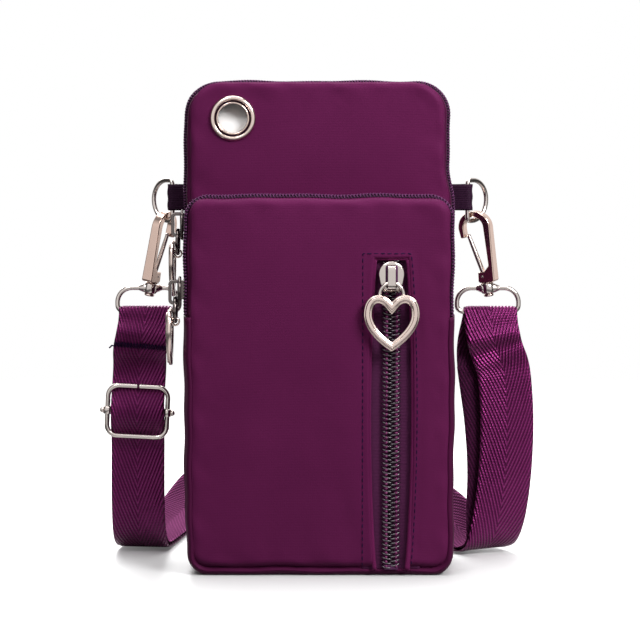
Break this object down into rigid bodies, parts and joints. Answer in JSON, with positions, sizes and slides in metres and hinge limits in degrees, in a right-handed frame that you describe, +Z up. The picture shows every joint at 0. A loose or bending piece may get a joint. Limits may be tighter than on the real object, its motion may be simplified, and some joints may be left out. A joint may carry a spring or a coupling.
{
  "type": "phone pouch",
  "caption": "Upright padded nylon phone pouch with zip compartments, heart-shaped zip pulls, a metal eyelet, snap hooks and an adjustable webbing strap.",
  "frame": {"origin": "middle of the base, on the surface that the pouch stands on", "axes": "+X to the right of the front view, +Y to the back, +Z up"},
  "size_m": [0.1683, 0.2006, 0.1855],
  "materials": {
    "nylon": "padded woven nylon with a soft sheen",
    "zip_tape": "woven tape",
    "coil": "satin coil",
    "lining": "thin woven lining",
    "ribbon": "ribbed ribbon",
    "webbing": "herringbone webbing with a sheen",
    "metal": "polished pale champagne plating"
  },
  "bodies": {
    "pouch": {"back_panel": "nylon", "middle_panel": "nylon", "front_panel": "nylon", "main_gusset": "nylon", "front_gusset": "nylon", "main_top_strip": "nylon", "front_top_strip": "nylon", "main_zip_front_tape": "zip_tape", "main_zip_rear_tape": "zip_tape", "front_zip_front_tape": "zip_tape", "front_zip_rear_tape": "zip_tape", "pocket_zip_left_tape": "zip_tape", "pocket_zip_right_tape": "zip_tape", "main_zip_coils": "coil", "front_zip_coils": "coil", "pocket_zip_coils": "coil", "main_lining": "lining", "front_lining": "lining", "pocket_lining": "lining", "pocket_zip_stop": "metal", "eyelet": "metal", "eyelet_washer": "metal", "left_tab": "ribbon", "right_tab": "ribbon", "buckle_frame": "metal", "strap_outer": "webbing", "strap_inner": "webbing"},
    "buckle_bar": {"buckle_bar": "metal"},
    "pocket_slider": {"pocket_slider": "metal"},
    "pocket_ring": {"pocket_ring": "metal"},
    "pocket_heart": {"pocket_heart": "metal"},
    "front_slider": {"front_slider": "metal"},
    "front_ring": {"front_ring": "metal"},
    "front_heart": {"front_heart": "metal"},
    "main_slider": {"main_slider": "metal"},
    "main_ring": {"main_ring": "metal"},
    "main_heart": {"main_heart": "metal"},
    "left_ring": {"left_d_ring": "metal", "left_swivel_loop": "metal", "strap_left_end": "webbing"},
    "left_hook": {"left_hook": "metal", "left_gate_pin": "metal", "left_gate_spring": "metal"},
    "left_gate": {"left_gate": "metal"},
    "right_ring": {"right_d_ring": "metal", "right_swivel_loop": "metal", "strap_right_end": "webbing"},
    "right_hook": {"right_hook": "metal", "right_gate_pin": "metal", "right_gate_spring": "metal"},
    "right_gate": {"right_gate": "metal"}
  },
  "joints": [
    {"name": "pocket_slide", "type": "slide", "parent": "pouch", "child": "pocket_slider", "axis": [0, 0, -1], "range_m": [0, 0.08]},
    {"name": "pocket_ring_swing", "type": "hinge", "parent": "pocket_slider", "child": "pocket_ring", "pos_m": [0.0266, -0.02145, 0.11125], "axis": [-1, 0, 0], "range_deg": [0, 90]},
    {"name": "pocket_heart_swing", "type": "hinge", "parent": "pocket_ring", "child": "pocket_heart", "pos_m": [0.0266, -0.02145, 0.10235], "axis": [-1, 0, 0], "range_deg": [-8, 4]},
    {"name": "front_slide", "type": "slide", "parent": "pouch", "child": "front_slider", "axis": [0, 0, 1], "range_m": [0, 0.02]},
    {"name": "front_ring_swing", "type": "hinge", "parent": "front_slider", "child": "front_ring", "pos_m": [-0.05405, -0.015, 0.10515], "axis": [0, 1, 0], "range_deg": [0, 90]},
    {"name": "front_heart_swing", "type": "hinge", "parent": "front_ring", "child": "front_heart", "pos_m": [-0.05405, -0.015, 0.09625], "axis": [0, 1, 0], "range_deg": [-8, 4]},
    {"name": "main_slide", "type": "slide", "parent": "pouch", "child": "main_slider", "axis": [0, 0, 1], "range_m": [0, 0.034]},
    {"name": "main_ring_swing", "type": "hinge", "parent": "main_slider", "child": "main_ring", "pos_m": [-0.05405, 0.0061, 0.12875], "axis": [0, 1, 0], "range_deg": [0, 20]},
    {"name": "main_heart_swing", "type": "hinge", "parent": "main_ring", "child": "main_heart", "pos_m": [-0.05405, 0.0061, 0.11985], "axis": [0, 1, 0], "range_deg": [-8, 4]},
    {"name": "left_ring_swing", "type": "hinge", "parent": "pouch", "child": "left_ring", "pos_m": [-0.0567, 0.0186, 0.139], "axis": [0, 0, -1], "range_deg": [-20, 30]},
    {"name": "left_hook_swivel", "type": "hinge", "parent": "left_ring", "child": "left_hook", "pos_m": [-0.06544, 0.01959, 0.10531], "axis": [-0.1994, 0, -0.9799], "range_deg": [-8, 20]},
    {"name": "left_gate_open", "type": "hinge", "parent": "left_hook", "child": "left_gate", "pos_m": [-0.06421, 0.02012, 0.10996], "axis": [0.8652, -0.4695, -0.176], "range_deg": [0, 18], "stiffness_Nm_per_rad": 0.05, "springref_deg": -11.46},
    {"name": "right_ring_swing", "type": "hinge", "parent": "pouch", "child": "right_ring", "pos_m": [0.0567, 0.0186, 0.139], "axis": [0, 0, 1], "range_deg": [-20, 30]},
    {"name": "right_hook_swivel", "type": "hinge", "parent": "right_ring", "child": "right_hook", "pos_m": [0.06487, 0.0202, 0.10516], "axis": [0.1564, 0, -0.9877], "range_deg": [-8, 20]},
    {"name": "right_gate_open", "type": "hinge", "parent": "right_hook", "child": "right_gate", "pos_m": [0.0636, 0.0205, 0.10982], "axis": [0.4938, 0.866, 0.0782], "range_deg": [0, 18], "stiffness_Nm_per_rad": 0.05, "springref_deg": -11.46},
    {"name": "buckle_bar_slide", "type": "slide", "parent": "pouch", "child": "buckle_bar", "axis": [0.0523, 0, 0.9986], "range_m": [-0.0015, 0.0015]}
  ]
}
